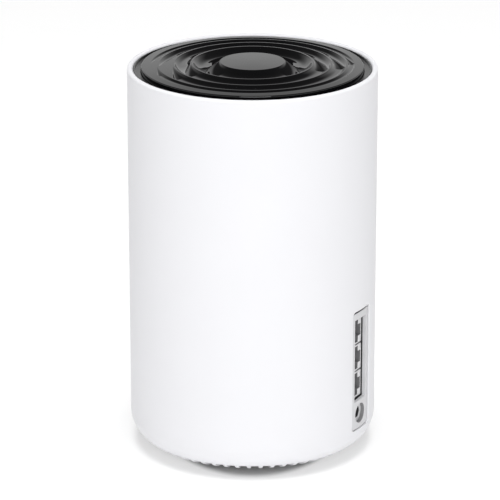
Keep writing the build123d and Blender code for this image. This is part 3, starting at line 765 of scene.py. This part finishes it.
def ring_sections():
    """The vented ring's profile: the part that the slots cut, and the part above them."""
    start = SHELL_END + degrees(0.25 / CORNER_R)
    rim_in, rim_out, rim_top, rim_foot = CORNER_R - WALL - 2.0, CORNER_R - WALL - 0.2, 34.0, 58.0
    inner = CORNER_R - BASE_T

    def at_slot_top(a, b):
        share = (SLOT_TOP_Z - a[1]) / (b[1] - a[1])
        return (a[0] + (b[0] - a[0]) * share, SLOT_TOP_Z)

    outer_cut = at_slot_top(corner(CORNER_R, start), corner(rim_out, start))
    inner_cut = at_slot_top(corner(inner, rim_foot), corner(rim_in, rim_foot))
    under = [(SLOT_IN_R, FOOT_H), (SLOT_IN_R + 3, FOOT_H)]
    under += [corner(CORNER_R, 90 + (start - 90) * i / 10) for i in range(11)] + [outer_cut]
    over = [(SLOT_IN_R, FOOT_H + BASE_T), (SLOT_IN_R + 3, FOOT_H + BASE_T)]
    over += [corner(inner, 90 + (rim_foot - 90) * i / 8) for i in range(9)] + [inner_cut]
    above = [outer_cut] + [corner(rim_out, start + (rim_top - start) * i / 4) for i in range(5)]
    above += [corner(rim_in, rim_top + (rim_foot - rim_top) * i / 5) for i in range(6)] + [inner_cut]
    return under, over, above


def make_base():
    """The base: a flat disc with seats and holes, inside a ring of ribs between vent slots."""
    shape = Shape()
    half, pitch = SLOT_ANGLE / 2, 360.0 / SLOT_COUNT
    columns = []
    for index in range(SLOT_COUNT):
        middle = SLOT_PHASE + pitch * index
        columns += [(middle - half + SLOT_ANGLE * i / 4, True) for i in range(4)]
        columns += [(middle + half + (pitch - SLOT_ANGLE) * i / 3, False) for i in range(3)]
    under, over, above = ring_sections()

    def spin(point, angle):
        return (point[0] * cos(radians(angle)), point[0] * sin(radians(angle)), point[1])

    for index, (angle, is_slot) in enumerate(columns):
        after = columns[(index + 1) % len(columns)][0]
        paths = [above] + ([[under[0], over[0]], [under[-1], over[-1]]] if is_slot else [under, over])
        for path in paths:
            points = [spin(p, a) for p in path for a in (angle, after)]
            shape.add(points, [[2 * i, 2 * i + 1, 2 * i + 3, 2 * i + 2] for i in range(len(path) - 1)])
        if is_slot != columns[index - 1][1]:
            shape.cap([spin(p, angle) for p in under + over[::-1]])

    rim = [(SLOT_IN_R * cos(radians(a)), SLOT_IN_R * sin(radians(a))) for a, _ in columns]
    sole, top_z, edge = flat(FOOT_H), FOOT_H + BASE_T, 0.15
    seats = [(circle(*spot, FOOT_SEAT_R, 48), 0.8) for spot in FOOT_SPOTS]
    label = rectangle(-LABEL_SEAT_X, LABEL_SEAT_X, -LABEL_SEAT_Y, LABEL_SEAT_Y, 2.2, 8)
    seats.append((label, 0.25))
    bores = [circle(*spot, SCREW_HEAD_R, 40) for spot in SCREW_SPOTS]
    guide = circle(*RESET_SPOT, GUIDE_IN_R, 40)
    openings = [grown(outline, edge) for outline in [seat for seat, _ in seats] + bores + [guide]]
    skin(shape, rim, openings, [], sole)
    for outline, depth in seats:
        loops = rounded_edge(outline, edge, sole, 1, 3) + [[sole(x, y, depth) for x, y in outline]]
        shape.bridge(loops)
        shape.cap(loops[-1])
    holes = []
    for spot, outline in zip(SCREW_SPOTS, bores):
        hole = circle(*spot, SCREW_HOLE_R, 40)
        holes.append(hole)
        shape.bridge(
            rounded_edge(outline, edge, sole, 1, 3)
            + [[sole(x, y, 1.2) for x, y in outline], [sole(x, y, 1.2) for x, y in hole]]
            + [[(x, y, top_z) for x, y in hole]]
        )
    tube = circle(*RESET_SPOT, GUIDE_OUT_R, 40)
    shape.bridge(
        rounded_edge(guide, edge, sole, 1, 3)
        + [[(x, y, GUIDE_TOP_Z) for x, y in guide], [(x, y, GUIDE_TOP_Z) for x, y in tube]]
        + [[(x, y, top_z) for x, y in tube]]
    )
    skin(shape, rim, holes + [tube], [], flat(top_z))
    place_in_scene("vented_base", shape, WHITE_INNER, ["base_plate"], bevel=0.16)


make_base()


# ---------------------------------------------------------------- feet and reset button
def make_feet():
    """The rubber feet, with ringed soles."""
    low, high = box("rubber_feet")
    foot_r = 5.0
    profile = [(0.02, low.z + 0.25)]
    for ring in range(3):
        r = 1.2 + 1.15 * ring
        profile += [(r, low.z + 0.25), (r + 0.15, low.z)]
        profile += [(r + 0.7, low.z), (r + 0.85, low.z + 0.25)]
    profile += [(foot_r - 0.6, low.z + 0.25)]
    profile += arc((foot_r - 0.5, low.z + 0.5), 0.5, -90, 0, 5)
    profile += [(foot_r, high.z), (0.02, high.z)]
    shape = Shape()
    for spot in FOOT_SPOTS:
        foot = revolved(profile, 64, spot)
        shape.add(foot.points, foot.faces)
    place_in_scene("rubber_feet_set", shape, RUBBER, ["rubber_feet"])


def make_reset_cap():
    """The reset button, with a dished end and a collar above its guide."""
    low, high = box("reset_button")
    collar_r, shaft_r, collar_z = (high.x - low.x) / 2, 2.2, GUIDE_TOP_Z
    profile = [(0.02, low.z + 0.35), (0.8, low.z + 0.3), (1.4, low.z + 0.08), (1.65, low.z)]
    profile += arc((shaft_r - 0.3, low.z + 0.3), 0.3, -90, 0, 4)
    profile += [(shaft_r, collar_z), (collar_r, collar_z), (collar_r, collar_z + 1.0)]
    profile += [(collar_r - 0.2, collar_z + 1.2), (1.6, collar_z + 1.2), (1.6, high.z), (0.02, high.z)]
    button = revolved(profile, 48, RESET_SPOT)
    place_in_scene("reset_cap", button, BUTTON_GREY, ["reset_button"], body="reset_key")


make_feet()
make_reset_cap()


# ---------------------------------------------------------------- CAD nodes that keep their own mesh
def dress_nodes():
    """Give each carried-over CAD node the procedural finish of its material slot."""
    made = {}
    for part in frame["record"]["subparts"]:
        slot = part["material_slot"]
        if slot not in FINISHES:
            continue
        if slot not in made:
            made[slot] = make_material(slot, **FINISHES[slot])
        for holder in frame["nodes"][part["node"]].material_slots:
            holder.material = made[slot]


dress_nodes()


# ---------------------------------------------------------------- floor, light and world
WORLD_LIGHT = 0.74       # light of the studio at its horizon
FLOOR_GLOW = 0.42        # glow of the floor near the node, just outside its painted contact shadow
FAR_GLOW = 0.84          # that glow far from the node, as a share of the studio's light
PAINTED_SHADOW_WIDTH = 0.75        # width across the view of the painted contact shadow on the floor, as a share of its depth
PAINTED_SHADOW_EDGE = (0.051, 0.0585)      # distances from the axis, in metres, across which the glow fades in over the painted contact shadow
GLOW_RISES = (0.9, 3.5)            # and between which it rises to its far value


def add_glow_and_painted_shadow(material):
    """Make the floor glow, with a painted contact shadow where the glow fades out under the node, and
    make it clear from below.
    """
    nodes, links = material.node_tree.nodes, material.node_tree.links
    shader = nodes["Principled BSDF"]
    shader.inputs["Emission Strength"].default_value = WORLD_LIGHT
    place = nodes.new("ShaderNodeTexCoord")
    # Painted contact shadow: the glow fades out within a stretched circle round the node, turned to the
    # camera's side
    turn = nodes.new("ShaderNodeMapping")
    turn.vector_type = "TEXTURE"
    turn.inputs["Rotation"].default_value = (0.0, 0.0, CAMERA_AZIMUTH)
    turn.inputs["Scale"].default_value = (PAINTED_SHADOW_WIDTH, 1.0, 1.0)
    reach = nodes.new("ShaderNodeVectorMath")
    reach.operation = "LENGTH"
    painted_shadow_fade = nodes.new("ShaderNodeMapRange")
    painted_shadow_fade.interpolation_type = "SMOOTHSTEP"
    painted_shadow_fade.inputs["From Min"].default_value, painted_shadow_fade.inputs["From Max"].default_value = PAINTED_SHADOW_EDGE
    rise = nodes.new("ShaderNodeMapRange")
    rise.inputs["From Min"].default_value, rise.inputs["From Max"].default_value = GLOW_RISES
    rise.inputs["To Min"].default_value = FLOOR_GLOW / WORLD_LIGHT
    rise.inputs["To Max"].default_value = FAR_GLOW
    glow = nodes.new("ShaderNodeMath")
    glow.operation = "MULTIPLY"
    side = nodes.new("ShaderNodeNewGeometry")
    clear = nodes.new("ShaderNodeBsdfTransparent")
    mix = nodes.new("ShaderNodeMixShader")
    links.new(place.outputs["Object"], turn.inputs["Vector"])
    links.new(turn.outputs["Vector"], reach.inputs[0])
    links.new(reach.outputs["Value"], painted_shadow_fade.inputs["Value"])
    links.new(reach.outputs["Value"], rise.inputs["Value"])
    links.new(painted_shadow_fade.outputs["Result"], glow.inputs[0])
    links.new(rise.outputs["Result"], glow.inputs[1])
    links.new(glow.outputs["Value"], shader.inputs["Emission Color"])
    links.new(side.outputs["Backfacing"], mix.inputs["Fac"])
    links.new(shader.outputs["BSDF"], mix.inputs[1])
    links.new(clear.outputs["BSDF"], mix.inputs[2])
    links.new(mix.outputs["Shader"], nodes["Material Output"].inputs["Surface"])


def make_floor():
    """A wide plain floor that glows, with a painted contact shadow under the node."""
    half = 30.0
    corners = [(-half, -half, 0), (half, -half, 0), (half, half, 0), (-half, half, 0)]
    mesh = bpy.data.meshes.new("floor")
    mesh.from_pydata(corners, [], [(0, 1, 2, 3)])
    floor = bpy.data.objects.new("floor", mesh)
    material = make_material(
        "floor_white_painted_shadow", (0.60, 0.60, 0.60), 0.9, tint=0.004, blotch=400.0, grain=5.0, specular=0.0
    )
    add_glow_and_painted_shadow(material)
    mesh.materials.append(material)
    bpy.context.scene.collection.objects.link(floor)


def make_light(name, direction, elevation, distance, size, power, glossy=True):
    """A soft square light that looks at the object. Its direction is in degrees from the camera's."""
    data = bpy.data.lights.new(name, "AREA")
    data.shape, data.size, data.energy = "SQUARE", size, power
    light = bpy.data.objects.new(name, data)
    turn = CAMERA_AZIMUTH + radians(direction)
    way = Vector((
        sin(turn) * cos(radians(elevation)), -cos(turn) * cos(radians(elevation)), sin(radians(elevation))
    ))
    light.location = Vector((0, 0, 0.1)) + way * distance
    light.rotation_mode = "QUATERNION"
    light.rotation_quaternion = (-way).to_track_quat("-Z", "Y")
    light.visible_glossy = glossy
    bpy.context.scene.collection.objects.link(light)


def make_world():
    """A studio that is bright at the horizon and dim overhead."""
    world = bpy.data.worlds.new("studio")
    bpy.context.scene.world = world
    world.use_nodes = True
    nodes, links = world.node_tree.nodes, world.node_tree.links
    place = nodes.new("ShaderNodeTexCoord")
    split = nodes.new("ShaderNodeSeparateXYZ")
    ramp = nodes.new("ShaderNodeValToRGB")
    links.new(place.outputs["Generated"], split.inputs["Vector"])
    links.new(split.outputs["Z"], ramp.inputs["Fac"])
    stops = ((0.0, 1.0), (0.30, 1.0), (0.42, 0.62), (0.58, 0.12), (1.0, 0.06))
    while len(ramp.color_ramp.elements) < len(stops):
        ramp.color_ramp.elements.new(0.5)
    for element, (position, value) in zip(ramp.color_ramp.elements, stops):
        element.position = position
        element.color = (value, value, value, 1.0)
    links.new(ramp.outputs["Color"], nodes["Background"].inputs["Color"])
    nodes["Background"].inputs["Strength"].default_value = WORLD_LIGHT


make_floor()
make_world()
make_light("key", 3.0, 20.0, 3.0, 1.6, 44.0)
make_light("overhead", 0.0, 88.0, 2.4, 1.4, 56.0, glossy=False)
bpy.context.scene.view_settings.view_transform = "Standard"
